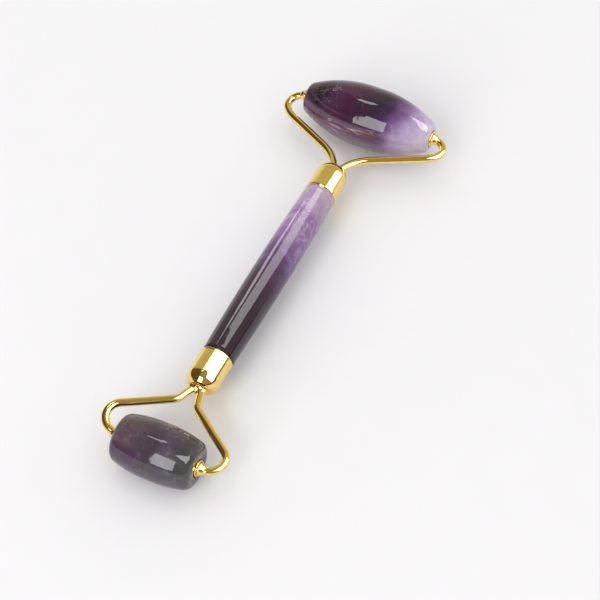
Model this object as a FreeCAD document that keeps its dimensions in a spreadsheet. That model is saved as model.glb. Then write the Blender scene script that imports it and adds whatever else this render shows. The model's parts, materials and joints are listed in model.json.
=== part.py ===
"""Double-ended crystal face roller: a stone grip with a wire fork and a free-turning
stone barrel at each end.

Tool frame: the grip's centre line is X, from the small barrel to the large one, and both
axles run along Y. Fork frame: origin at the middle of one axle, +X towards the grip, and
+Y outwards along the axle. Each fork part is drawn once on its +Y side and turned over
for the other. Seated frame: the roller lying on a flat surface, +Z up, with the origin
below the middle of its outer box. Lengths are millimetres and angles are degrees.
"""
import FreeCAD, Part
import math
import os

import Sketcher

os.makedirs("parts", exist_ok=True)
doc = FreeCAD.newDocument("FaceRoller")

# ---------------------------------------------------------------- driving dimensions
CELLS = {
    "axle_spacing": 130.0,
    # barrels: length, belly radius, radius of the end corner before rounding
    "large_length": 40.0, "large_belly": 9.2, "large_corner": 4.1, "large_rounding": 2.2,
    "small_length": 23.0, "small_belly": 7.8, "small_corner": 6.1, "small_rounding": 2.2,
    "belly_flat": 3.0,
    "recess_radius": 2.55, "recess_depth": 0.5, "bore_radius": 1.9, "bore_depth": 8.0,
    # flanged bush glued into each bore, and the sleeve inside it
    "flange_radius": 2.3, "flange_thickness": 0.8, "bush_radius": 1.85, "bush_length": 7.0,
    "sleeve_radius": 1.48, "sleeve_bore": 1.19, "sleeve_length": 6.4, "glue_gap": 0.03,
    # wire forks, measured from the axle
    "wire_radius": 1.12, "leg_offset": 1.15,
    "large_leave": 23.6, "large_splay": 26.0, "large_splay_bend": 5.0,
    "large_slope": 27.8, "large_shoulder_bend": 8.0, "large_hook": 3.9,
    "small_leave": 22.0, "small_splay": 16.5, "small_splay_bend": 3.0,
    "small_slope": 34.5, "small_shoulder_bend": 2.2, "small_hook": 4.2,
    "pivot_depth": 7.0,
    # stop collar on the wire beside each flange
    "collar_gap": 0.12, "collar_radius": 1.95, "collar_tip": 1.32, "collar_land": 0.4,
    "collar_length": 1.2, "collar_fillet": 0.06, "hook_cover": 0.6,
    # ferrules: open end at "rim" from the axle, then a straight wall and a round dome
    "large_rim": 33.9, "small_rim": 32.5,
    "ferrule_radius": 4.7, "ferrule_wall": 0.4, "ferrule_straight": 7.3, "dome_bend": 3.9,
    "lip_height": 0.12, "lip_width": 0.6, "wire_hole": 2.5, "bead_height": 1.1,
    # grip: spindle between the rims, with a stub glued into each ferrule
    "grip_large_end": 4.6, "grip_middle": 5.1, "grip_small_end": 4.55,
    "stub_radius": 4.25, "stub_length": 5.5, "wire_to_stub": 0.5,
}


class Size:
    """A length or angle as a number, with the sheet formula that drives it."""

    def __init__(self, value, formula):
        self.value = value
        self.formula = formula

    def combine(self, other, sign, value):
        text = other.formula if isinstance(other, Size) else str(other)
        return Size(value, f"({self.formula} {sign} {text})")

    def __add__(self, other):
        return self.combine(other, "+", self.value + number(other))

    def __sub__(self, other):
        return self.combine(other, "-", self.value - number(other))

    def __mul__(self, other):
        return self.combine(other, "*", self.value * number(other))

    def __truediv__(self, other):
        return self.combine(other, "/", self.value / number(other))

    def __neg__(self):
        return Size(-self.value, f"(0 - {self.formula})")

    def root(self):
        return Size(math.sqrt(self.value), f"sqrt({self.formula})")


def number(value):
    return value.value if isinstance(value, Size) else value


sheet = doc.addObject("Spreadsheet::Sheet", "Sizes")
size = {}
for row, (alias, value) in enumerate(CELLS.items(), 1):
    sheet.set(f"A{row}", alias)
    sheet.set(f"B{row}", str(value))
    sheet.setAlias(f"B{row}", alias)
    size[alias] = Size(value, f"Sizes.{alias}")
doc.recompute()
ZERO = Size(0.0, "0")
TINY = 1e-6

# ---------------------------------------------------------------- where things go
BELLY_STEP = number(size["large_belly"] - size["small_belly"])
HALF_SPACING = number(size["axle_spacing"] / 2)
TILT = math.degrees(math.asin(BELLY_STEP / number(size["axle_spacing"])))
MEAN_HEIGHT = number((size["large_belly"] + size["small_belly"]) / 2)
FLIP = FreeCAD.Rotation(FreeCAD.Vector(1, 0, 0), 180)

# The barrels differ in radius, so the grip's line rises a little towards the large one.
SEAT = FreeCAD.Placement(FreeCAD.Vector(-BELLY_STEP / 2, 0, MEAN_HEIGHT),
                         FreeCAD.Rotation(FreeCAD.Vector(0, 1, 0), -TILT))
FORK = {
    "large": FreeCAD.Placement(FreeCAD.Vector(HALF_SPACING, 0, 0),
                               FreeCAD.Rotation(FreeCAD.Vector(0, 0, 1), 180)),
    "small": FreeCAD.Placement(FreeCAD.Vector(-HALF_SPACING, 0, 0), FreeCAD.Rotation()),
}
# The fork frame's +Y is the tool's left at the small end and its right at the large end.
DRAWN_SIDE = {"large": "right", "small": "left"}


def place(end, side=None):
    """Seated placement of a part drawn in the fork frame of one end."""
    turned = FreeCAD.Placement()
    if side and side != DRAWN_SIDE[end]:
        turned = FreeCAD.Placement(FreeCAD.Vector(), FLIP)
    return SEAT * FORK[end] * turned


# ---------------------------------------------------------------- sketch helpers
def new_body(label):
    body = doc.addObject("PartDesign::Body", label)
    body.Label = label
    return body


def new_sketch(body, role, name):
    plane = next(item for item in body.Origin.OriginFeatures if item.Role == role)
    sketch = body.newObject("Sketcher::SketchObject", name)
    sketch.AttachmentSupport = (plane, "")
    sketch.MapMode = "FlatFace"
    return sketch


def drive(sketch, constraint, formula):
    """Add a constraint whose value comes from the sheet."""
    sketch.setExpression(f"Constraints[{sketch.addConstraint(constraint)}]", formula)


def pin(sketch, edge, end, x, y):
    """Fix one end of an edge at x, y, each driven by its formula or held on an axis."""
    for kind, value, axis in (("DistanceX", x, -2), ("DistanceY", y, -1)):
        if abs(value.value) < TINY:
            sketch.addConstraint(Sketcher.Constraint("PointOnObject", edge, end, axis))
        else:
            constraint = Sketcher.Constraint(kind, -1, 1, edge, end, value.value)
            drive(sketch, constraint, value.formula)


def polar(angle):
    return FreeCAD.Vector(math.cos(math.radians(angle)), math.sin(math.radians(angle)), 0)


def add_arc(sketch, centre, radius, start, finish):
    """Arc from one angle to another; returns which of its ends comes first and last.

    Arcs are stored anticlockwise, so one drawn clockwise is entered by its second end.
    """
    first, last = sorted((math.radians(start), math.radians(finish)))
    circle = Part.Circle(centre, FreeCAD.Vector(0, 0, 1), radius)
    sketch.addGeometry(Part.ArcOfCircle(circle, first, last), False)
    return (1, 2) if start < finish else (2, 1)


def add_bulge(sketch, start, finish, radius, left):
    """Arc between two points, bulging to the left or right of the way it runs."""
    chord = finish - start
    heading = math.degrees(math.atan2(chord.y, chord.x))
    half_turn = math.degrees(math.asin(chord.Length / 2 / radius))
    outward = heading + (90 if left else -90)
    centre = start + chord / 2 - polar(outward) * radius * math.cos(math.radians(half_turn))
    sweep = -half_turn if left else half_turn
    return add_arc(sketch, centre, radius, outward - sweep, outward + sweep)


def outline(sketch, corners, arcs):
    """Closed outline through the corners; arcs gives radius and side by starting corner."""
    points = [FreeCAD.Vector(x.value, y.value, 0) for x, y in corners]
    ends = []
    for index, start in enumerate(points):
        finish = points[(index + 1) % len(points)]
        if index in arcs:
            radius, left = arcs[index]
            ends.append(add_bulge(sketch, start, finish, radius.value, left))
        else:
            sketch.addGeometry(Part.LineSegment(start, finish), False)
            ends.append((1, 2))
    for index, (x, y) in enumerate(corners):
        before = (index - 1) % len(points)
        sketch.addConstraint(Sketcher.Constraint("Coincident", before, ends[before][1],
                                                 index, ends[index][0]))
        pin(sketch, index, ends[index][0], x, y)
    for index, (radius, left) in arcs.items():
        drive(sketch, Sketcher.Constraint("Radius", index, radius.value), radius.formula)


def revolve(body, corners, axis, arcs=None):
    """Turned piece: a closed outline in the XY plane swung about X ("H") or Y ("V")."""
    sketch = new_sketch(body, "XY_Plane", f"{body.Name}_outline")
    outline(sketch, corners, arcs or {})
    turned = body.newObject("PartDesign::Revolution", f"{body.Name}_turned")
    turned.Profile = sketch
    turned.ReferenceAxis = (sketch, [f"{axis}_Axis"])
    turned.Angle = 360.0
    return turned


def round_edges(body, feature, radius, wanted):
    """Round every edge of the feature that the test picks out."""
    doc.recompute()
    names = [f"Edge{index}" for index, edge in enumerate(feature.Shape.Edges, 1) if wanted(edge)]
    fillet = body.newObject("PartDesign::Fillet", f"{body.Name}_rounded")
    fillet.Base = (feature, names)
    fillet.Radius = radius.value
    fillet.setExpression("Radius", radius.formula)
    return fillet


# ---------------------------------------------------------------- barrels
def barrel(end):
    """Stone barrel on Y: flat belly, one sweeping arc to each end, recessed blind bores."""
    half = size[f"{end}_length"] / 2
    belly, corner = size[f"{end}_belly"], size[f"{end}_corner"]
    flat = size["belly_flat"] / 2
    recess_floor = half - size["recess_depth"]
    bore_end = half - size["bore_depth"]
    drop, run = belly - corner, half - flat
    sweep = (drop * drop + run * run) / (drop * 2)
    upper = [(ZERO, bore_end), (size["bore_radius"], bore_end),
             (size["bore_radius"], recess_floor), (size["recess_radius"], recess_floor),
             (size["recess_radius"], half), (corner, half), (belly, flat)]
    lower = [(x, -y) for x, y in reversed(upper)]
    body = new_body(f"{end}_roller")
    arcs = {5: (sweep, True), 7: (sweep, True)}
    turned = revolve(body, upper + lower, "V", arcs)
    between_rims = size["recess_radius"].value + corner.value

    def at_corner(edge):
        on_end_face = abs(abs(edge.Vertexes[0].Y) - half.value) < TINY
        return len(edge.Vertexes) == 1 and on_end_face and edge.BoundBox.XLength > between_rims

    round_edges(body, turned, size[f"{end}_rounding"], at_corner)
    body.Placement = place(end)


# ---------------------------------------------------------------- bushes and sleeves
def bush(end, side):
    """Flanged tube glued into one bore, its flange standing proud of the recess."""
    recess_floor = size[f"{end}_length"] / 2 - size["recess_depth"]
    face = recess_floor + size["flange_thickness"]
    inner = recess_floor - size["bush_length"]
    hole = size["sleeve_radius"] + size["glue_gap"]
    body = new_body(f"{end}_{side}_bush")
    revolve(body, [(hole, inner), (size["bush_radius"], inner),
                   (size["bush_radius"], recess_floor), (size["flange_radius"], recess_floor),
                   (size["flange_radius"], face), (hole, face)], "V")
    body.Placement = place(end, side)


def sleeve(end, side):
    """Plain bearing sleeve pressed into the bush, flush with the flange's face."""
    face = size[f"{end}_length"] / 2 - size["recess_depth"] + size["flange_thickness"]
    inner = face - size["sleeve_length"]
    body = new_body(f"{end}_{side}_sleeve")
    revolve(body, [(size["sleeve_bore"], inner), (size["sleeve_radius"], inner),
                   (size["sleeve_radius"], face), (size["sleeve_bore"], face)], "V")
    body.Placement = place(end, side)


# ---------------------------------------------------------------- wire arms and collars
def collar_start(end):
    flange_face = size[f"{end}_length"] / 2 - size["recess_depth"] + size["flange_thickness"]
    return flange_face + size["collar_gap"]


def collar(end, side):
    """Small cone brazed on the wire, its wide face beside the bush's flange."""
    face = collar_start(end)
    shoulder = face + size["collar_land"]
    tip = face + size["collar_length"]
    hole = size["wire_radius"] + size["collar_fillet"]
    body = new_body(f"{end}_{side}_collar")
    revolve(body, [(hole, face), (size["collar_radius"], face),
                   (size["collar_radius"], shoulder), (size["collar_tip"], tip),
                   (hole, tip)], "V")
    body.Placement = place(end, side)


def leg_end(end):
    """Distance from the axle to the buried end of the wires, just short of the grip."""
    return size[f"{end}_rim"] - size["stub_length"] - size["wire_to_stub"]


def draw_route(route, end, hook_start, pivot_end):
    """Straights and arcs of one arm, from its buried leg to its pivot.

    The leg runs along the grip and splays out of the ferrule, the shoulder turns it into
    the long run across the end of the tool, and the hook brings it back on to the axle.
    Returns, piece by piece, which end comes first and which last.
    """
    splay, slope = size[f"{end}_splay"].value, size[f"{end}_slope"].value
    splay_bend = size[f"{end}_splay_bend"].value
    shoulder_bend, hook = size[f"{end}_shoulder_bend"].value, size[f"{end}_hook"].value
    start = FreeCAD.Vector(leg_end(end).value, size["leg_offset"].value, 0)
    leave = FreeCAD.Vector(size[f"{end}_leave"].value, start.y, 0)
    splay_centre = leave + polar(90) * splay_bend
    hook_centre = FreeCAD.Vector(hook, hook_start, 0)
    stub_way, run_way = polar(180 - splay), polar(90 + slope)
    stub_from = splay_centre + polar(270 - splay) * splay_bend
    run_to = hook_centre + polar(slope) * hook
    # The shoulder's centre stands one bend radius off both the stub and the run.
    gap = run_to - stub_from + (polar(slope) - polar(90 - splay)) * shoulder_bend
    crossing = stub_way.x * run_way.y - stub_way.y * run_way.x
    stub_to = stub_from + stub_way * ((gap.x * run_way.y - gap.y * run_way.x) / crossing)
    shoulder_centre = stub_to + polar(90 - splay) * shoulder_bend
    run_from = shoulder_centre + polar(180 + slope) * shoulder_bend

    def straight(here, there):
        route.addGeometry(Part.LineSegment(here, there), False)
        return 1, 2

    return [straight(start, leave),
            add_arc(route, splay_centre, splay_bend, 270, 270 - splay),
            straight(stub_from, stub_to),
            add_arc(route, shoulder_centre, shoulder_bend, 270 - splay, 180 + slope),
            straight(run_from, run_to),
            add_arc(route, hook_centre, hook, slope, 180),
            straight(FreeCAD.Vector(0, hook_start, 0), FreeCAD.Vector(0, pivot_end, 0))]


def arm(end, side):
    """One arm of bent round wire, swept along straights joined by tangent arcs."""
    hook_start = collar_start(end) + size["collar_length"] - size["hook_cover"]
    pivot_end = size[f"{end}_length"] / 2 - size["pivot_depth"]
    body = new_body(f"{end}_{side}_arm")
    route = new_sketch(body, "XY_Plane", f"{body.Name}_route")
    joints = draw_route(route, end, hook_start.value, pivot_end.value)
    for edge in range(len(joints) - 1):
        route.addConstraint(Sketcher.Constraint("Tangent", edge, joints[edge][1],
                                                edge + 1, joints[edge + 1][0]))
    for edge, bend_name in ((1, "splay_bend"), (3, "shoulder_bend"), (5, "hook")):
        radius = size[f"{end}_{bend_name}"]
        drive(route, Sketcher.Constraint("Radius", edge, radius.value), radius.formula)
    leave = size[f"{end}_leave"]
    route.addConstraint(Sketcher.Constraint("Horizontal", 0))
    pin(route, 0, 1, leg_end(end), size["leg_offset"])
    drive(route, Sketcher.Constraint("DistanceX", -1, 1, 0, 2, leave.value), leave.formula)
    for edge, angle in ((2, -size[f"{end}_splay"] + 180), (4, size[f"{end}_slope"] + 90)):
        constraint = Sketcher.Constraint("Angle", edge, math.radians(angle.value))
        drive(route, constraint, angle.formula)
    route.addConstraint(Sketcher.Constraint("Vertical", 6))
    pin(route, 6, 1, ZERO, hook_start)
    drive(route, Sketcher.Constraint("DistanceY", -1, 1, 6, 2, pivot_end.value),
          pivot_end.formula)
    section = new_sketch(body, "YZ_Plane", f"{body.Name}_section")
    section.AttachmentOffset = FreeCAD.Placement(
        FreeCAD.Vector(0, 0, leg_end(end).value), FreeCAD.Rotation())
    section.setExpression("AttachmentOffset.Base.z", leg_end(end).formula)
    centre = FreeCAD.Vector(size["leg_offset"].value, 0, 0)
    wire = size["wire_radius"]
    section.addGeometry(Part.Circle(centre, FreeCAD.Vector(0, 0, 1), wire.value), False)
    drive(section, Sketcher.Constraint("Radius", 0, wire.value), wire.formula)
    pin(section, 0, 3, size["leg_offset"], ZERO)
    swept = body.newObject("PartDesign::AdditivePipe", f"{body.Name}_wire")
    swept.Profile = section
    swept.Spine = route
    body.Placement = place(end, side)
    return body


# ---------------------------------------------------------------- ferrules and what fills them
def dome_centre(end):
    return size[f"{end}_rim"] - size["ferrule_straight"]


def dome_hole(end, dome_bend):
    """Distance from the axle to where a dome bent to this radius meets the wires' hole."""
    off_centre = size["wire_hole"] - size["ferrule_radius"] + size["dome_bend"]
    return dome_centre(end) - (dome_bend * dome_bend - off_centre * off_centre).root()


def ferrule(end):
    """Spun metal cup: rolled lip at the open end, round dome with a hole for the wires."""
    rim, outer, hole = size[f"{end}_rim"], size["ferrule_radius"], size["wire_hole"]
    inner, dome_bend = outer - size["ferrule_wall"], size["dome_bend"]
    inner_bend = dome_bend - size["ferrule_wall"]
    lip = outer + size["lip_height"]
    lip_end = rim - size["lip_width"]
    body = new_body(f"{end}_ferrule")
    arcs = {4: (dome_bend, False), 6: (inner_bend, True)}
    revolve(body, [(rim, inner), (rim, lip), (lip_end, lip), (lip_end, outer),
                   (dome_centre(end), outer), (dome_hole(end, dome_bend), hole),
                   (dome_hole(end, inner_bend), hole), (dome_centre(end), inner)], "H", arcs)
    body.Placement = place(end)


def around_wires(end, label, corners, arcs, arms):
    """Turned filling inside the wires' fork, with both wires cut out of it."""
    blank = new_body(f"{label}_blank")
    revolve(blank, corners, "H", arcs)
    blank.Placement = place(end)
    filling = doc.addObject("Part::Cut", label)
    filling.Label = label
    filling.Base = blank
    filling.Tool = arms


def resin_plug(end, arms):
    """Potting resin that fills the ferrule from the grip's stub to the dome."""
    inner = size["ferrule_radius"] - size["ferrule_wall"]
    inner_bend = size["dome_bend"] - size["ferrule_wall"]
    back = size[f"{end}_rim"] - size["stub_length"]
    front = dome_hole(end, inner_bend)
    around_wires(end, f"{end}_resin_plug",
                 [(back, ZERO), (back, inner), (dome_centre(end), inner),
                  (front, size["wire_hole"]), (front, ZERO)], {2: (inner_bend, False)}, arms)


def braze_bead(end, arms):
    """Bead of braze that closes the dome's hole and swells up between the two wires."""
    back = dome_hole(end, size["dome_bend"] - size["ferrule_wall"])
    mouth = dome_hole(end, size["dome_bend"])
    hole, height = size["wire_hole"], size["bead_height"]
    swell = (hole * hole + height * height) / (height * 2)
    around_wires(end, f"{end}_braze_bead",
                 [(back, ZERO), (back, hole), (mouth, hole), (mouth - height, ZERO)],
                 {2: (swell, False)}, arms)


# ---------------------------------------------------------------- grip
def handle():
    """Stone grip: a spindle thickest at its middle, with a stub for each ferrule."""
    small_rim = size["small_rim"] - size["axle_spacing"] / 2
    large_rim = size["axle_spacing"] / 2 - size["large_rim"]
    middle = (small_rim + large_rim) / 2
    stub, depth = size["stub_radius"], size["stub_length"]
    run = (large_rim - small_rim) / 2
    arcs = {}
    for corner, radius in ((3, size["grip_small_end"]), (4, size["grip_large_end"])):
        drop = size["grip_middle"] - radius
        arcs[corner] = ((drop * drop + run * run) / (drop * 2), True)
    body = new_body("handle")
    revolve(body, [(small_rim - depth, ZERO), (small_rim - depth, stub), (small_rim, stub),
                   (small_rim, size["grip_small_end"]), (middle, size["grip_middle"]),
                   (large_rim, size["grip_large_end"]), (large_rim, stub),
                   (large_rim + depth, stub), (large_rim + depth, ZERO)], "H", arcs)
    body.Placement = SEAT


# ---------------------------------------------------------------- build and export
handle()
for end in ("large", "small"):
    barrel(end)
    ferrule(end)
    wires = doc.addObject("Part::MultiFuse", f"{end}_wires")
    wires.Shapes = [arm(end, side) for side in ("left", "right")]
    resin_plug(end, wires)
    braze_bead(end, wires)
    for side in ("left", "right"):
        bush(end, side)
        sleeve(end, side)
        collar(end, side)
doc.recompute()

failed = [item.Name for item in doc.Objects if {"Invalid", "Error"} & set(item.State)]
if failed:
    raise SystemExit(f"these did not build: {failed}")
HELPERS = ("blank", "wires")
nodes = [item for item in doc.Objects
         if item.TypeId in ("PartDesign::Body", "Part::Cut") and not item.Label.endswith(HELPERS)]
for node in nodes:
    shape = node.Shape
    if shape.isNull() or not shape.isValid() or len(shape.Solids) != 1:
        raise SystemExit(f"{node.Label} is not one valid solid")
for node in nodes:
    node.Shape.exportStep(f"parts/{node.Label}.step")
    print(f"{node.Label:22s} {node.Shape.Volume:9.2f} mm3")
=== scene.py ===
"""Crystal face roller: a stone grip between two gold wire forks, with a large and a small
stone barrel that turn on the forks. The sections follow the tool as it is put together.
Lengths are millimetres until a piece is placed, then metres. The patterns in stone and
metal are laid out in millimetres from a middle point.
"""

import json
import math

import bmesh
import bpy
from mathutils import Matrix, Vector


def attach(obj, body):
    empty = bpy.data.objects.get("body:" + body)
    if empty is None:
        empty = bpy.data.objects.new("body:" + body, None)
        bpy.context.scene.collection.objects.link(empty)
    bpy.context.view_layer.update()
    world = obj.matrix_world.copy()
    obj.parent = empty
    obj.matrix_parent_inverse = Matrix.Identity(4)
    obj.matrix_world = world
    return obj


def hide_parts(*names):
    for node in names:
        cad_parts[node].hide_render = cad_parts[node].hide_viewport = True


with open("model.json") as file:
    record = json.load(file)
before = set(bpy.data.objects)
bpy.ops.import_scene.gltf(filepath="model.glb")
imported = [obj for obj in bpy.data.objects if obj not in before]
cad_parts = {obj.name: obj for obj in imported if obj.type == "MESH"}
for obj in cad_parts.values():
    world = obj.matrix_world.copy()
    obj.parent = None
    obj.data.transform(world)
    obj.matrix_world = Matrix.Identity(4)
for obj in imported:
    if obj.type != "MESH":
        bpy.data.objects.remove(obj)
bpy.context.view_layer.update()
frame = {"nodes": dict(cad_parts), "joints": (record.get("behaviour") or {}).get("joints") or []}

# ---------------------------------------------------------------- grip
# The grip is one rod of amethyst, ground to a slight spindle and polished. Its two ends
# are turned down to stubs that the gold caps are glued over. Like the caps, collars,
# barrels, bushes and sleeves it is lathe work: an outline turned about its axis.
MM = 0.001
WELD = 1e-7
pivot = {joint["child"].split("_")[0]: Vector(joint["pos_m"]) for joint in frame["joints"]}
TOOL_LINE = (pivot["large"] - pivot["small"]).normalized()
LEFT = Vector((0, 1, 0))
TOOL_UP = TOOL_LINE.cross(LEFT)
AXLE_SPACING = (pivot["large"] - pivot["small"]).length / MM
TOWARDS_GRIP = {"large": -TOOL_LINE, "small": TOOL_LINE}


def fork_point(end, along, out=0.0, up=0.0, side=LEFT):
    """A place measured from the middle of one axle: towards the grip, outwards and up."""
    return pivot[end] + (TOWARDS_GRIP[end] * along + side * out + TOOL_UP * up) * MM


def laid_along(start, way):
    """Matrix that takes a piece made on Z from the origin to a start point and a way."""
    return Matrix.Translation(start) @ way.to_track_quat("Z", "Y").to_matrix().to_4x4()


def bend(radius, height, turn, start, finish, steps=10):
    """Outline points on an arc about (radius, height), from one angle to another."""
    for step in range(steps + 1):
        angle = math.radians(start + (finish - start) * step / steps)
        yield radius + turn * math.cos(angle), height + turn * math.sin(angle)


def node_tree(name, inputs):
    """New node tree with the named inputs. Also gives its input sockets, a way to add a
    node, and a way to finish the tree with smooth, real, coated geometry."""
    tree = bpy.data.node_groups.new(name, "GeometryNodeTree")
    tree.interface.new_socket("Geometry", in_out="INPUT", socket_type="NodeSocketGeometry")
    for label, kind in inputs:
        tree.interface.new_socket(label, in_out="INPUT", socket_type="NodeSocket" + kind)
    tree.interface.new_socket("Geometry", in_out="OUTPUT", socket_type="NodeSocketGeometry")
    start = tree.nodes.new("NodeGroupInput")
    finish = tree.nodes.new("NodeGroupOutput")

    def add(kind, sockets, settings=None):
        node = tree.nodes.new(kind)
        for key, value in (settings or {}).items():
            setattr(node, key, value)
        for key, value in sockets.items():
            if isinstance(value, bpy.types.NodeSocket):
                tree.links.new(value, node.inputs[key])
            else:
                node.inputs[key].default_value = value
        return node.outputs[0]

    def close(geometry):
        shaded = add("GeometryNodeSetShadeSmooth", {"Geometry": geometry})
        real = add("GeometryNodeRealizeInstances", {"Geometry": shaded})
        coated = add("GeometryNodeSetMaterial",
                     {"Geometry": real, "Material": start.outputs["Material"]})
        tree.links.new(coated, finish.inputs[0])

    return tree, start.outputs, add, close


# The outline is swept round a ring; its own distance from the axis is taken off first.
TURNING_RING = 0.001
turned_tree, given, add, close = node_tree("Turned", [("Steps", "Int"), ("Material", "Material")])
outline_curve = add("GeometryNodeMeshToCurve", {"Mesh": given["Geometry"]})
shifted = add("GeometryNodeSetPosition",
              {"Geometry": outline_curve, "Offset": (-TURNING_RING, 0, 0)})
ring = add("GeometryNodeCurvePrimitiveCircle",
           {"Resolution": given["Steps"], "Radius": TURNING_RING})
swept = add("GeometryNodeCurveToMesh", {"Curve": ring, "Profile Curve": shifted})
close(add("GeometryNodeMergeByDistance", {"Geometry": swept, "Distance": WELD}))


def settled(piece):
    """Gives a piece the mesh its modifiers make of it, and drops the modifiers."""
    bpy.context.view_layer.update()
    evaluated = piece.evaluated_get(bpy.context.evaluated_depsgraph_get())
    made = bpy.data.meshes.new_from_object(evaluated)
    piece.modifiers.clear()
    piece.data = made
    return made


def worked(name, points, edges, tree, inputs, place=None, bends=None):
    """Runs a tree on a drawn line and leaves a plain, closed mesh in its place."""
    drawn = bpy.data.meshes.new(name)
    drawn.from_pydata(points, edges, [])
    if bends:
        drawn.attributes.new("bend", "FLOAT", "POINT").data.foreach_set("value", bends)
    piece = bpy.data.objects.new(name, drawn)
    bpy.context.scene.collection.objects.link(piece)
    modifier = piece.modifiers.new("Made", "NODES")
    modifier.node_group = tree
    for socket in tree.interface.items_tree:
        if socket.in_out == "INPUT" and socket.name in inputs:
            modifier[socket.identifier] = inputs[socket.name]
    made = settled(piece)
    made.name = name
    shell = bmesh.new()
    shell.from_mesh(made)
    bmesh.ops.remove_doubles(shell, verts=shell.verts, dist=WELD)
    bmesh.ops.transform(shell, matrix=place or Matrix(), verts=shell.verts)
    bmesh.ops.recalc_face_normals(shell, faces=shell.faces)
    shell.to_mesh(made)
    shell.free()
    return piece


def turned(name, outline, material, start, way, steps=128, closed=True):
    """Lathe piece: an outline of (radius, height) points turned about its axis."""
    points = [(radius * MM, -height * MM, 0) for radius, height in outline]
    edges = [(index, index + 1) for index in range(len(points) - 1)]
    if closed:
        edges.append((len(points) - 1, 0))
    return worked(name, points, edges, turned_tree, {"Steps": steps, "Material": material},
                  laid_along(start, way))


def fit(piece, node, body):
    """Puts a finished piece on its body, in the place of one plain node."""
    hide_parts(node)
    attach(piece, body)


class Flow:
    """A value or colour on its way through a material; sums on it add Math nodes."""

    def __init__(self, finish, socket):
        self.finish = finish
        self.socket = socket

    def math(self, operation, *values):
        return self.finish.node("Math", {"operation": operation}, dict(enumerate(values)))

    def __add__(self, other):
        return self.math("ADD", self, other)

    def __mul__(self, other):
        return self.math("MULTIPLY", self, other)

    def __sub__(self, other):
        return self.math("SUBTRACT", self, other)

    def __rsub__(self, other):
        return self.math("SUBTRACT", other, self)

    __radd__ = __add__

    def size(self):
        """Distance from zero."""
        return self.math("ABSOLUTE", self)

    def between(self, low, high):
        """0 below low, 1 above high and a soft step between; high below low turns it over."""
        if low > high:
            return 1 - self.between(high, low)
        sockets = {"Value": self, "From Min": low, "From Max": high}
        return self.finish.node("MapRange", {"interpolation_type": "SMOOTHSTEP"}, sockets)


class Finish:
    """A material being mixed; one method adds any shader node and fills its sockets."""

    def __init__(self, name, shelf=bpy.data.materials):
        self.owner = shelf.new(name)
        self.owner.use_nodes = True
        self.tree = self.owner.node_tree
        self.tree.nodes.clear()

    def node(self, kind, settings, sockets, out=0):
        """Adds a node; flows are linked to its sockets and constants are set on them."""
        node = self.tree.nodes.new("ShaderNode" + kind)
        for key, value in settings.items():
            if key == "stops":
                elements = node.color_ramp.elements
                while len(elements) < len(value):
                    elements.new(0.5)
                for element, (place, colour) in zip(elements, value):
                    element.position = place
                    element.color = (*colour, 1)
            else:
                setattr(node, key, value)
        for key, value in sockets.items():
            if isinstance(value, Flow):
                self.tree.links.new(value.socket, node.inputs[key])
            elif node.inputs[key].type == "RGBA":
                node.inputs[key].default_value = (*value, 1)
            else:
                node.inputs[key].default_value = value
        return None if out is None else Flow(self, node.outputs[out])

    def millimetres(self, middle, stretch=(1, 1, 1)):
        """Object coordinates in millimetres from the middle of the piece."""
        scale = [1 / MM * share for share in stretch]
        return self.node("Mapping", {}, {
            "Vector": self.node("TexCoord", {}, {}, "Object"),
            "Location": [-a * b for a, b in zip(middle, scale)], "Scale": scale})

    def noise(self, where, scale, detail=4.0, rough=0.5, bent=0.0):
        return self.node("TexNoise", {}, {"Vector": where, "Scale": scale, "Detail": detail,
                                          "Roughness": rough, "Distortion": bent})

    def mix(self, share, first, second, how="MIX"):
        return self.node("Mix", {"data_type": "RGBA", "blend_type": how},
                         {0: share, 6: first, 7: second}, 2)

    def surface(self, colour, sockets):
        """Closes the finish with one coat over everything and gives the material."""
        shaded = self.node("BsdfPrincipled", {}, {"Base Color": colour, **sockets})
        self.node("OutputMaterial", {}, {"Surface": shaded}, None)
        return self.owner


VEIN_LILAC = (0.62, 0.54, 0.68)
SMOKE_TINT = (0.35, 0.30, 0.38)


def crystal(stone, where, along, stops, cloud, drift, smoke_share):
    """Body colour of grown crystal: bands of colour along the piece from -1 to 1, moved
    about by a slow noise (drift), with dark smoke and pale cloud in them."""
    slow = stone.noise(where, 0.11, 3.0, 0.55, 0.6)
    place = along * 0.5 + 0.5 + (slow - 0.5) * (drift * 2)
    body = stone.node("ValToRGB", {"stops": stops}, {0: place})
    smoke = stone.noise(where, 0.34, 7.0, 0.62, 0.5)
    dark = stone.mix(smoke.between(0.62, 0.30) * smoke_share, body, SMOKE_TINT, "MULTIPLY")
    return stone.mix(smoke.between(0.50, 0.74) * cloud, dark, VEIN_LILAC)


def threads(stone, where, colour, scale, width, amount, tone=VEIN_LILAC):
    """Healed cracks: thin threads where a bent noise crosses its middle value."""
    line = (stone.noise(where, scale, 6.0, 0.62, 1.4) - 0.5).size().between(width, 0.0)
    patch = stone.noise(where, scale * 0.55, 2.0).between(0.46, 0.66)
    return stone.mix(line * patch * amount, colour, tone)


def flecks(stone, where, colour, scale, share, spread, amount, tone):
    """Scattered specks, one in some of the cells of a Voronoi pattern."""
    cells = {"Vector": where, "Scale": scale}
    near = stone.node("TexVoronoi", {}, cells).between(spread, spread * 0.5)
    pick = stone.node("SeparateXYZ", {}, {0: stone.node("TexVoronoi", {}, cells, "Color")})
    return stone.mix(near * pick.between(1 - share, 1.01 - share) * amount, colour, tone)


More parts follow.
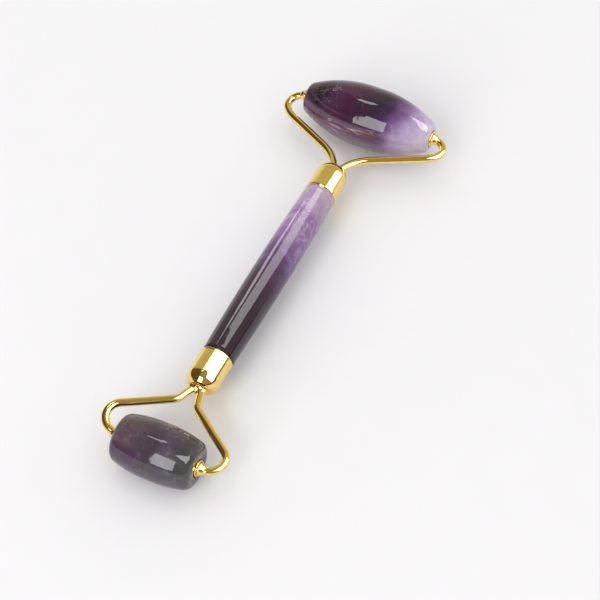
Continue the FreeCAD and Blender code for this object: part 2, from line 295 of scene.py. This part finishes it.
def polished(stone, where, colour):
    """Wet-looking polish over stone, very slightly uneven as hand work leaves it."""
    uneven = stone.noise(where, 0.22, 2.0, 0.5)
    grain = stone.noise(where, 2.6, 4.0, 0.6)
    rough = 0.035 + grain.between(0.45, 0.80) * 0.07
    bump = stone.node("Bump", {}, {"Height": uneven + grain * 0.01,
                                   "Strength": 0.35, "Distance": 0.00012})
    return stone.surface(colour, {"Roughness": rough, "Normal": bump, "IOR": 1.55,
                                  "Subsurface Weight": 0.10,
                                  "Subsurface Radius": (1.0, 0.7, 1.1),
                                  "Subsurface Scale": 0.0012})


CAP_RIM = {"large": 33.9, "small": 32.5}
STUB_RADIUS, STUB_LENGTH = 4.25, 5.5
GRIP_END_RADIUS = {"large": 4.6, "small": 4.55}
GRIP_MIDDLE_RADIUS = 5.1
GRIP_LENGTH = AXLE_SPACING - CAP_RIM["large"] - CAP_RIM["small"]
GRIP_STEPS = 48
grip_middle = fork_point("small", CAP_RIM["small"] + GRIP_LENGTH / 2)

grip_outline = [(0, -STUB_LENGTH), (STUB_RADIUS, -STUB_LENGTH), (STUB_RADIUS, -0.01),
                (STUB_RADIUS, 0)]
for step in range(GRIP_STEPS + 1):
    share = step / GRIP_STEPS
    end_radius = GRIP_END_RADIUS["small" if share < 0.5 else "large"]
    radius = GRIP_MIDDLE_RADIUS - (GRIP_MIDDLE_RADIUS - end_radius) * (2 * share - 1) ** 2
    grip_outline.append((radius, GRIP_LENGTH * share))
grip_outline += [(STUB_RADIUS, GRIP_LENGTH), (STUB_RADIUS, GRIP_LENGTH + STUB_LENGTH),
                 (0, GRIP_LENGTH + STUB_LENGTH)]

# The stone is near black at the small end and turns to pale, veined lilac at the large one.
stone = Finish("grip_amethyst")
here = stone.millimetres(grip_middle)
along = stone.node("SeparateXYZ", {}, {0: here})
colour = crystal(stone, here, along * (2 / GRIP_LENGTH), [
    (0.00, (0.026, 0.013, 0.024)), (0.20, (0.020, 0.009, 0.020)),
    (0.38, (0.036, 0.015, 0.036)), (0.55, (0.085, 0.038, 0.110)),
    (0.70, (0.190, 0.110, 0.225)), (0.86, (0.290, 0.190, 0.315)),
    (1.00, (0.350, 0.255, 0.335))], along.between(-5.0, 25.0) * 0.16, 0.10, 0.30)
pale_end = along.between(-8.0, 14.0)
patch = stone.noise(here, 0.16, 2.0, 0.4)
colour = stone.mix(patch.between(0.52, 0.64) * pale_end * 0.6, colour, (0.170, 0.075, 0.230))
colour = threads(stone, here, colour, 0.16, 0.040, pale_end * 0.24)
colour = threads(stone, here, colour, 0.40, 0.016, pale_end * 0.10)
grip = turned("grip_stone", grip_outline, polished(stone, here, colour),
              fork_point("small", CAP_RIM["small"]), TOOL_LINE, closed=False)
fit(grip, "handle", "grip")

# ---------------------------------------------------------------- gold caps
# Each cap is a brass cup, spun over a former and gold plated: a rolled lip at the open
# end, a straight wall, and a round dome with a hole for the wires.
CAP_RADIUS, CAP_WALL, CAP_STRAIGHT, DOME_BEND, WIRE_HOLE = 4.7, 0.4, 7.3, 3.9, 2.5
LIP_HEIGHT, LIP_WIDTH = 0.12, 0.6


def plated(name, tone):
    """Mirror gold: faint clouding of the plate and fine polishing marks."""
    gold = Finish(name)
    where = gold.millimetres((0, 0, 0))
    cloudy = gold.noise(where, 0.5, 3.0, 0.55, 0.4)
    marks = gold.noise(where, 7.0, 3.0, 0.6)
    colour = gold.mix(cloudy.between(0.35, 0.75), tone, [part * 0.90 for part in tone])
    rough = 0.045 + marks.between(0.5, 0.8) * 0.05
    bump = gold.node("Bump", {}, {"Height": cloudy + marks * 0.02,
                                  "Strength": 0.3, "Distance": 0.00008})
    return gold.surface(colour, {"Metallic": 1.0, "Roughness": rough, "Normal": bump})


GOLD = (0.95, 0.71, 0.27)
cap_gold = plated("cap_gold", GOLD)
dome_stop = math.degrees(math.asin((WIRE_HOLE - CAP_RADIUS + DOME_BEND) / DOME_BEND))
dome_middle = CAP_RADIUS - DOME_BEND
cap_inside = CAP_RADIUS - CAP_WALL
# Close points at both ends of the straight wall keep the mirror in it straight.
cap_outline = [
    (cap_inside, 0.0), (cap_inside, CAP_STRAIGHT),
    *bend(dome_middle, CAP_STRAIGHT, DOME_BEND - CAP_WALL, 0, 90 - dome_stop, 24),
    *bend(dome_middle, CAP_STRAIGHT, DOME_BEND, 90 - dome_stop, 0, 40),
    (CAP_RADIUS, CAP_STRAIGHT - 0.02),
    (CAP_RADIUS, LIP_WIDTH + 0.09), (CAP_RADIUS, LIP_WIDTH + 0.05),
    *bend(CAP_RADIUS + LIP_HEIGHT - LIP_WIDTH / 2, LIP_WIDTH / 2, LIP_WIDTH / 2, 70, -80, 14)]
for end in ("large", "small"):
    cap = turned(f"{end}_cap", cap_outline, cap_gold,
                 fork_point(end, CAP_RIM[end]), -TOWARDS_GRIP[end])
    fit(cap, f"{end}_ferrule", "grip")

# ---------------------------------------------------------------- wire forks
# Each fork is two arms of round gold-plated wire, bent by hand round pins: out of the
# dome, across to the barrel's end, and round a hook that comes back along the axle.
WIRE_RADIUS = 1.12
LEG_OFFSET = 1.15
WIRE_SIDES, BEND_STEPS = 32, 20
# Corners of each arm: (towards the grip, outwards, up) and the bend's radius there. The
# forks are bent by hand, so each arm leaves the flat by a millimetre or two.
ARM_CORNERS = {
    ("large", "left"): [
        ((27.9, LEG_OFFSET, 0), 0), ((22.0, LEG_OFFSET, 0), 7.0), ((16.7, 4.5, -0.9), 14.0),
        ((7.4, 22.1, -1.6), 8.0), ((0.5, 28.7, -1.9), 3.4), ((0, 20.2, 0), 3.0),
        ((0, 13.0, 0), 0)],
    ("large", "right"): [
        ((27.9, LEG_OFFSET, 0), 0), ((22.45, LEG_OFFSET, 0), 5.0), ((17.4, 3.6, -0.2), 13.0),
        ((7.2, 22.5, -0.35), 8.0), ((0, 29.2, -0.6), 3.4), ((0, 20.2, 0), 3.0),
        ((0, 13.0, 0), 0)],
    ("small", "left"): [
        ((26.5, LEG_OFFSET, 0), 0), ((21.57, LEG_OFFSET, 0), 3.0), ((16.2, 2.9, 0.9), 3.4),
        ((2.9, 23.0, 2.7), 4.2), ((0, 12.3, 0), 2.4), ((0, 4.5, 0), 0)],
    ("small", "right"): [
        ((26.5, LEG_OFFSET, 0), 0), ((21.57, LEG_OFFSET, 0), 3.0), ((15.97, 2.81, 0), 2.6),
        ((0, 25.8, -0.3), 4.1), ((0, 12.4, 0), 3.0), ((0, 4.5, 0), 0)],
}

wire_tree, given, add, close = node_tree(
    "Bent wire", [("Radius", "Float"), ("Bend steps", "Int"), ("Material", "Material")])
route = add("GeometryNodeMeshToCurve", {"Mesh": given["Geometry"]})
bend_radius = add("GeometryNodeInputNamedAttribute", {"Name": "bend"}, {"data_type": "FLOAT"})
rounded = add("GeometryNodeFilletCurve", {"Curve": route, "Radius": bend_radius,
                                          "Count": given["Bend steps"]}, {"mode": "POLY"})
section = add("GeometryNodeCurvePrimitiveCircle",
              {"Resolution": WIRE_SIDES, "Radius": given["Radius"]})
close(add("GeometryNodeCurveToMesh", {"Curve": rounded, "Profile Curve": section,
                                      "Fill Caps": True}))


wire_gold = plated("wire_gold", GOLD)
for (end, label), corners in ARM_CORNERS.items():
    side = LEFT if label == "left" else -LEFT
    route = [fork_point(end, *point, side=side) for point, _ in corners]
    arm = worked(f"{end}_{label}_wire", route,
                 [(index, index + 1) for index in range(len(route) - 1)], wire_tree,
                 {"Radius": WIRE_RADIUS * MM, "Bend steps": BEND_STEPS, "Material": wire_gold},
                 bends=[radius * MM for _, radius in corners])
    fit(arm, f"{end}_{label}_arm", "grip")

# ---------------------------------------------------------------- resin in the caps
# Clear amber resin, poured into each cap, holds the wires and the grip's stub. It is
# hidden once the tool is finished, so the plain cast shape stays.
resin = Finish("amber_resin")
where = resin.millimetres((0, 0, 0))
swirl = resin.noise(where, 0.6, 3.0)
resin_surface = resin.surface(resin.mix(swirl, (0.52, 0.36, 0.12), (0.66, 0.52, 0.24)),
                              {"Roughness": 0.15 + swirl * 0.1, "IOR": 1.5})
for end in ("large", "small"):
    plug = frame["nodes"][f"{end}_resin_plug"]
    for layer in plug.material_slots:
        layer.material = resin_surface

# ---------------------------------------------------------------- braze in the caps' holes
# A bead of braze closes each dome's hole, wets both wires and is plated over with them.
# Its surface is left as it froze: balls run together, with small lumps between the wires.
DOME_TOP = {end: CAP_RIM[end] - CAP_STRAIGHT - DOME_BEND for end in CAP_RIM}
BEAD_GRAIN = 0.12
# Lumps of each bead: (towards the grip from the dome's top, outwards, up) and radius.
BEAD_LUMPS = [((0.75, 0.0, 0.0), 1.9), ((0.45, 1.25, 0.15), 1.4), ((0.45, -1.25, -0.1), 1.4),
              ((-0.3, 0.0, 0.3), 0.95), ((0.2, 0.3, 1.05), 0.85), ((0.3, -0.35, -1.0), 0.85)]
braze_gold = plated("braze_gold", (0.93, 0.66, 0.27))
for end in ("large", "small"):
    lumps = bmesh.new()
    for (along, out, up), radius in BEAD_LUMPS:
        centre = fork_point(end, DOME_TOP[end] + along, out, up)
        bmesh.ops.create_icosphere(lumps, subdivisions=3, radius=radius * MM,
                                   matrix=Matrix.Translation(centre))
    mesh = bpy.data.meshes.new(f"{end}_braze")
    lumps.to_mesh(mesh)
    lumps.free()
    bead = bpy.data.objects.new(f"{end}_braze", mesh)
    bpy.context.scene.collection.objects.link(bead)
    melt = bead.modifiers.new("Melted", "REMESH")
    melt.mode, melt.voxel_size, melt.use_smooth_shade = "VOXEL", BEAD_GRAIN * MM, True
    flow = bead.modifiers.new("Flowed", "SMOOTH")
    flow.factor, flow.iterations = 0.7, 12
    mesh = settled(bead)
    mesh.materials.clear()
    mesh.materials.append(braze_gold)
    fit(bead, f"{end}_braze_bead", "grip")

# ---------------------------------------------------------------- stop collars
# A small turned brass cone is brazed on each wire where the hook meets the axle. Its wide
# face stands a hair off the barrel's bush and keeps the barrel from sliding.
HALF_LENGTH = {"large": 20.0, "small": 11.5}
RECESS_DEPTH, FLANGE_THICKNESS, COLLAR_GAP = 0.5, 0.8, 0.12
COLLAR_RADIUS, COLLAR_LAND, COLLAR_LENGTH, COLLAR_TIP = 1.95, 0.4, 1.7, 1.2
FACE_EDGE, LAND_EDGE, BRAZE_LAP = 0.12, 0.14, 0.05
collar_outline = [
    (WIRE_RADIUS - BRAZE_LAP, 0), (COLLAR_RADIUS - LAND_EDGE, 0),
    *bend(COLLAR_RADIUS - FACE_EDGE, FACE_EDGE, FACE_EDGE, -90, 0, 5),
    *bend(COLLAR_RADIUS - LAND_EDGE, COLLAR_LAND - LAND_EDGE, LAND_EDGE, 0, 75, 5),
    (COLLAR_RADIUS - 0.35, COLLAR_LAND + 0.22), (COLLAR_TIP + 0.25, COLLAR_LENGTH - 0.55),
    (COLLAR_TIP, COLLAR_LENGTH), (WIRE_RADIUS - BRAZE_LAP, COLLAR_LENGTH)]
for end in ("large", "small"):
    face = HALF_LENGTH[end] - RECESS_DEPTH + FLANGE_THICKNESS + COLLAR_GAP
    for label, side in (("left", LEFT), ("right", -LEFT)):
        collar = turned(f"{end}_{label}_stop", collar_outline, cap_gold,
                        fork_point(end, 0, face, side=side), side, 64)
        fit(collar, f"{end}_{label}_collar", "grip")

# ---------------------------------------------------------------- stone barrels
# Each barrel is ground from one piece of amethyst: a flat belly, one long sweep to each
# end, a softly rounded corner, and a recessed blind hole in each end for its bush.
BELLY_RADIUS = {"large": 9.2, "small": 7.8}
CORNER_RADIUS = {"large": 4.1, "small": 6.1}
BELLY_FLAT, CORNER_ROUNDING = 1.5, 2.2
BORE_RADIUS, BORE_DEPTH, RECESS_RADIUS, MOUTH = 1.9, 8.0, 2.55, 0.15


def barrel_outline(end):
    """Outline of a barrel: blind bore, recess, rounded corner, long sweep and flat belly."""
    half, belly = HALF_LENGTH[end], BELLY_RADIUS[end]
    drop, run = belly - CORNER_RADIUS[end], half - BELLY_FLAT
    sweep = (drop * drop + run * run) / (2 * drop)
    middle = belly - sweep
    rounded_at = half - CORNER_ROUNDING
    reach = math.sqrt((sweep - CORNER_ROUNDING) ** 2 - (rounded_at - BELLY_FLAT) ** 2)
    meet = math.degrees(math.asin((rounded_at - BELLY_FLAT) / (sweep - CORNER_ROUNDING)))
    recess = half - RECESS_DEPTH
    upper = [(0, half - BORE_DEPTH), (BORE_RADIUS, half - BORE_DEPTH), (BORE_RADIUS, recess),
             (RECESS_RADIUS - MOUTH, recess), (RECESS_RADIUS, recess + MOUTH),
             (RECESS_RADIUS, half - MOUTH), (RECESS_RADIUS + MOUTH, half),
             *bend(middle + reach, rounded_at, CORNER_ROUNDING, 90, meet, 16),
             *bend(middle, BELLY_FLAT, sweep, meet, 0, 48)]
    return upper + [(radius, -height) for radius, height in reversed(upper)]


def barrel(end, material):
    """Turns one barrel about its axle and puts it on its body."""
    stone = turned(f"{end}_barrel_stone", barrel_outline(end), material, pivot[end], LEFT,
                   160, closed=False)
    fit(stone, f"{end}_roller", f"{end}_barrel")


# The large barrel runs from plum black on the left to pale lilac on the right. "along" is
# -1 at its left end and 1 at its right, and Z is the height above the axle at rest.
stone = Finish("large_barrel_amethyst")
here = stone.millimetres(pivot["large"])
axes = {name: stone.node("SeparateXYZ", {}, {0: here}, name) for name in "XYZ"}
along = axes["Y"] * (-1 / HALF_LENGTH["large"])
lean = along + axes["Z"] * -0.012 + axes["X"] * -0.015
colour = crystal(stone, here, lean, [
    (0.03, (0.030, 0.015, 0.026)), (0.14, (0.013, 0.005, 0.010)),
    (0.25, (0.050, 0.019, 0.043)), (0.36, (0.045, 0.010, 0.032)),
    (0.47, (0.026, 0.009, 0.026)), (0.56, (0.020, 0.008, 0.024)),
    (0.65, (0.040, 0.012, 0.058)), (0.74, (0.125, 0.062, 0.168)),
    (0.84, (0.315, 0.232, 0.372)), (0.94, (0.410, 0.345, 0.445)),
    (1.00, (0.430, 0.370, 0.450))], along.between(0.3, 0.9) * 0.14, 0.07, 0.30)
colour = threads(stone, here, colour, 0.20, 0.018, along.between(0.9, 0.2) * 0.14)
# Painted light from the paper: the side and underneath are painted greyer.
low = (axes["Z"] + stone.noise(here, 0.12, 2.0) * 1.6).between(5.6, 3.4)
colour = stone.mix(low * along.between(0.52, 0.16) * 0.85, colour, (0.088, 0.042, 0.072))
# Painted light from the paper: paler still along the bottom.
base = axes["Z"].between(0.8, -2.6)
colour = stone.mix(base * along.between(0.85, 0.25) * 0.60, colour, (0.215, 0.150, 0.210))
# Light and dark threads lie in layers on the side and underneath.
layers = stone.millimetres(pivot["large"], (1, 0.08, 1))
colour = threads(stone, layers, colour, 0.42, 0.06, low * 0.70, (0.40, 0.30, 0.37))
dark_layers = low * along.between(0.40, 0.10) * 0.80
colour = threads(stone, layers, colour, 0.70, 0.07, dark_layers, (0.050, 0.018, 0.040))
# One faint seam, a cluster of glinting specks near the left end, and a trace of rust.
seam = (axes["Z"] + axes["Y"] * 0.02 - 5.3).size().between(0.50, 0.05)
colour = stone.mix(seam * along.between(0.1, -0.5) * 0.22, colour, (0.16, 0.08, 0.13))
near = along.between(-0.78, -0.62) * along.between(-0.34, -0.52)
glint = stone.noise(here, 0.34, 2.0).between(0.46, 0.60) * near * axes["Z"].between(4.6, 6.4)
colour = flecks(stone, here, colour, 1.3, 0.42, 0.40, glint * 0.65, (0.34, 0.21, 0.34))
rust = axes["Z"].between(1.2, 2.4) * axes["Z"].between(4.6, 3.4)
rust = rust * along.between(-0.25, 0.0) * along.between(0.3, 0.1)
colour = flecks(stone, layers, colour, 0.9, 0.30, 0.45, rust * 0.25, (0.24, 0.14, 0.09))
barrel("large", polished(stone, here, colour))

# The small barrel is smoky grey violet, with a deep purple bank low on its left.
stone = Finish("small_barrel_amethyst")
here = stone.millimetres(pivot["small"])
axes = {name: stone.node("SeparateXYZ", {}, {0: here}, name) for name in "XYZ"}
along = axes["Y"] * (-1 / HALF_LENGTH["small"])
colour = crystal(stone, here, along, [
    (0.00, (0.080, 0.050, 0.056)), (0.25, (0.066, 0.045, 0.054)),
    (0.42, (0.048, 0.034, 0.045)), (0.52, (0.036, 0.026, 0.036)),
    (0.64, (0.054, 0.042, 0.064)), (0.78, (0.048, 0.040, 0.054)),
    (0.90, (0.040, 0.034, 0.036)), (1.00, (0.050, 0.044, 0.044))], 0.07, 0.10, 0.35)
bank = axes["Z"] + axes["Y"] * 0.10 + stone.noise(here, 0.3, 2.0) * 1.2
purple = bank.between(6.9, 5.8) * along.between(0.05, -0.45)
colour = stone.mix(purple * 0.80, colour, (0.040, 0.017, 0.048))
# Painted light from the paper: paler underneath in two steps, down to grey.
underside = axes["Z"].between(2.6, -0.4)
colour = stone.mix(underside * 0.70, colour, (0.060, 0.040, 0.062))
underside = axes["Z"].between(-2.6, -5.0)
colour = stone.mix(underside * 0.75, colour, (0.150, 0.135, 0.165))
colour = threads(stone, here, colour, 0.24, 0.02, 0.16, (0.20, 0.18, 0.24))
# A brown crack across the underside, and brown chips on the side that faces the grip.
crack = (axes["Y"] + stone.noise(here, 0.5, 3.0) * 0.8 + 4.4).size().between(0.40, 0.05)
colour = stone.mix(crack * axes["Z"].between(0.0, -1.5) * 0.6, colour, (0.16, 0.11, 0.05))
chips = axes["X"].between(0.5, 2.5) * along.between(-0.1, 0.15) * along.between(0.85, 0.6)
colour = flecks(stone, here, colour, 0.9, 0.30, 0.40, chips * 0.55, (0.20, 0.11, 0.05))
barrel("small", polished(stone, here, colour))

# ---------------------------------------------------------------- bushes
# A flanged brass bush, gold plated, is glued into each bore. Its flange sits in the
# recess and shows as a ring round the wire.
FLANGE_RADIUS, BUSH_RADIUS, BUSH_LENGTH, BUSH_HOLE = 2.3, 1.85, 7.0, 1.51
BUSH_EDGE, FLANGE_ROUNDING = 0.08, 0.22
bush_outline = [
    (BUSH_HOLE, -BUSH_LENGTH), (BUSH_RADIUS, -BUSH_LENGTH), (BUSH_RADIUS, 0),
    (FLANGE_RADIUS - BUSH_EDGE, 0),
    *bend(FLANGE_RADIUS - BUSH_EDGE, BUSH_EDGE, BUSH_EDGE, -90, 0, 4),
    *bend(FLANGE_RADIUS - FLANGE_ROUNDING, FLANGE_THICKNESS - FLANGE_ROUNDING,
          FLANGE_ROUNDING, 0, 90, 8),
    (BUSH_HOLE + BUSH_EDGE, FLANGE_THICKNESS), (BUSH_HOLE, FLANGE_THICKNESS - BUSH_EDGE)]
for end in ("large", "small"):
    for label, side in (("left", LEFT), ("right", -LEFT)):
        seat = fork_point(end, 0, HALF_LENGTH[end] - RECESS_DEPTH, side=side)
        bush = turned(f"{end}_{label}_bush_ring", bush_outline, cap_gold, seat, side, 64)
        fit(bush, f"{end}_{label}_bush", f"{end}_barrel")

# ---------------------------------------------------------------- sleeves
# A natural nylon sleeve, cut from tube, is pressed into each bush, and the wire turns in
# it dry. Only its end shows, inside the flange's ring.
SLEEVE_RADIUS, SLEEVE_BORE, SLEEVE_LENGTH, SLEEVE_EDGE = 1.48, 1.19, 6.4, 0.06
nylon = Finish("natural_nylon")
haze = nylon.noise(nylon.millimetres((0, 0, 0)), 1.5, 4.0)
nylon_surface = nylon.surface(nylon.mix(haze, (0.62, 0.57, 0.45), (0.74, 0.69, 0.58)),
                              {"Roughness": 0.35 + haze * 0.2,
                               "Normal": nylon.node("Bump", {}, {
                                   "Height": haze, "Strength": 0.3, "Distance": 0.00005})})
sleeve_outline = [
    (SLEEVE_BORE, 0), (SLEEVE_RADIUS, 0), (SLEEVE_RADIUS, SLEEVE_LENGTH - SLEEVE_EDGE),
    (SLEEVE_RADIUS - SLEEVE_EDGE, SLEEVE_LENGTH), (SLEEVE_BORE + SLEEVE_EDGE, SLEEVE_LENGTH),
    (SLEEVE_BORE, SLEEVE_LENGTH - SLEEVE_EDGE)]
for end in ("large", "small"):
    face = HALF_LENGTH[end] - RECESS_DEPTH + FLANGE_THICKNESS
    for label, side in (("left", LEFT), ("right", -LEFT)):
        seat = fork_point(end, 0, face - SLEEVE_LENGTH, side=side)
        sleeve = turned(f"{end}_{label}_liner", sleeve_outline, nylon_surface, seat, side, 48)
        fit(sleeve, f"{end}_{label}_sleeve", f"{end}_barrel")

# ---------------------------------------------------------------- floor, light and camera
# A sheet of pale paper under the tool in a bright room. One large soft box low at the
# small end and one small box overhead light everything. The other boxes stand for the
# room's windows, and each lights only the pieces whose polish shows that window.
paper = Finish("paper")
fibre = paper.noise(paper.millimetres((0, 0, 0)), 0.08, 5.0, 0.6)
paper_surface = paper.surface(paper.mix(fibre, (0.74, 0.735, 0.74), (0.76, 0.757, 0.762)),
                              {"Roughness": 0.9})
FLOOR_HALF = 2.0
floor_mesh = bpy.data.meshes.new("floor")
floor_mesh.from_pydata([(-FLOOR_HALF, -FLOOR_HALF, 0), (FLOOR_HALF, -FLOOR_HALF, 0),
                        (FLOOR_HALF, FLOOR_HALF, 0), (-FLOOR_HALF, FLOOR_HALF, 0)],
                       [], [(0, 1, 2, 3)])
floor_mesh.materials.append(paper_surface)
floor = bpy.data.objects.new("floor", floor_mesh)
bpy.context.scene.collection.objects.link(floor)


def soft_box(name, azimuth, elevation, width, height, brightness, distance=0.9, lit=()):
    """Rectangular light facing the tool; its place and its size are angles, in degrees."""
    across, up = math.radians(azimuth), math.radians(elevation)
    way = Vector((math.cos(across) * math.cos(up), math.sin(across) * math.cos(up),
                  math.sin(up)))
    lamp = bpy.data.lights.new(name, "AREA")
    lamp.shape = "RECTANGLE"
    lamp.size = 2 * distance * math.tan(math.radians(width / 2))
    lamp.size_y = 2 * distance * math.tan(math.radians(height / 2))
    lamp.energy = brightness * math.pi * lamp.size * lamp.size_y
    light = bpy.data.objects.new(name, lamp)
    light.location = way * distance
    light.rotation_mode = "QUATERNION"
    light.rotation_quaternion = way.to_track_quat("Z", "Y")
    light.visible_camera = False
    bpy.context.scene.collection.objects.link(light)
    if lit:  # only these pieces get this light
        lit_pieces = bpy.data.collections.new(f"{name}_lights")
        for piece in lit:
            lit_pieces.objects.link(bpy.data.objects[piece])
        light.light_linking.receiver_collection = lit_pieces


gold_pieces = [piece.name for piece in bpy.data.objects if piece.type == "MESH"
               and piece.name.endswith(("_cap", "_wire", "_braze", "_stop", "_ring"))]
soft_box("low_box", 173, 30, 22, 40, 5.3, distance=2.4)
soft_box("top_box", 52, 71, 10, 6, 5.0, distance=2.0)
soft_box("gold_window", -78, 41, 66, 54, 4.0, lit=gold_pieces)
soft_box("cap_window", -42, 38, 24, 46, 4.0, lit=["small_cap"])
soft_box("large_window", -60, 50, 36, 16, 7.0, lit=["large_barrel_stone"])
soft_box("small_window", -123, 63, 32, 26, 6.0, lit=["small_barrel_stone"])
soft_box("grip_box", -9, 56, 42, 18, 3.6, lit=["grip_stone", "small_cap"])
soft_box("grip_strip", 46, 40, 7, 20, 5.0, lit=["grip_stone"])

# The room is even and bright, but polished pieces mirror its walls: olive brown, darker on
# the left and along the foot of the right wall, lighter ahead of the large end, and with a
# pale glow low down there.
room = Finish("room", bpy.data.worlds)
direction = room.node("TexCoord", {}, {}, "Generated")
facing = {name: room.node("SeparateXYZ", {}, {0: direction}, name) for name in "XYZ"}
shade = facing["Y"].between(0.10, 0.50) * facing["X"].between(0.42, 0.25)
low = facing["Z"].size().between(0.26, 0.12) * facing["Y"].between(-0.3, -0.7)
glow = facing["Z"].size().between(0.42, 0.24) * facing["X"].between(0.46, 0.58)
ahead = facing["X"].between(0.30, 0.55)
walls = room.mix(ahead, (0.34, 0.29, 0.19), (0.56, 0.50, 0.32))
walls = room.mix(shade, walls, (0.11, 0.082, 0.038))
walls = room.mix(low, walls, (0.12, 0.09, 0.045))
walls = room.mix(glow, walls, (0.80, 0.74, 0.58))
mirrored = room.node("LightPath", {}, {}, "Is Glossy Ray")
behind = room.node("LightPath", {}, {}, "Is Camera Ray")
bright = room.mix(mirrored, (1.03, 1.02, 1.03), walls)
bright = room.mix(behind, bright, (0.90, 0.90, 0.90))
backdrop = room.node("Background", {}, {"Color": bright})
room.node("OutputWorld", {}, {"Surface": backdrop}, None)
bpy.context.scene.world = room.owner

bpy.context.scene.view_settings.view_transform = "Standard"
VIEW_AZIMUTH, VIEW_ELEVATION, VIEW_DISTANCE = -64.21, 51.57, 0.5
AIM = Vector((0.0001, -0.0084, 0.0))
FOCAL_LENGTH = 108.06
across, up = math.radians(VIEW_AZIMUTH), math.radians(VIEW_ELEVATION)
back = Vector((math.sin(across) * math.cos(up), -math.cos(across) * math.cos(up),
               math.sin(up)))
lens = bpy.data.cameras.new("camera")
lens.lens = FOCAL_LENGTH
lens.clip_start = 0.01
camera = bpy.data.objects.new("camera", lens)
camera.location = AIM + back * VIEW_DISTANCE
camera.rotation_mode = "QUATERNION"
camera.rotation_quaternion = (-back).to_track_quat("-Z", "Y")
bpy.context.scene.collection.objects.link(camera)
bpy.context.scene.camera = camera
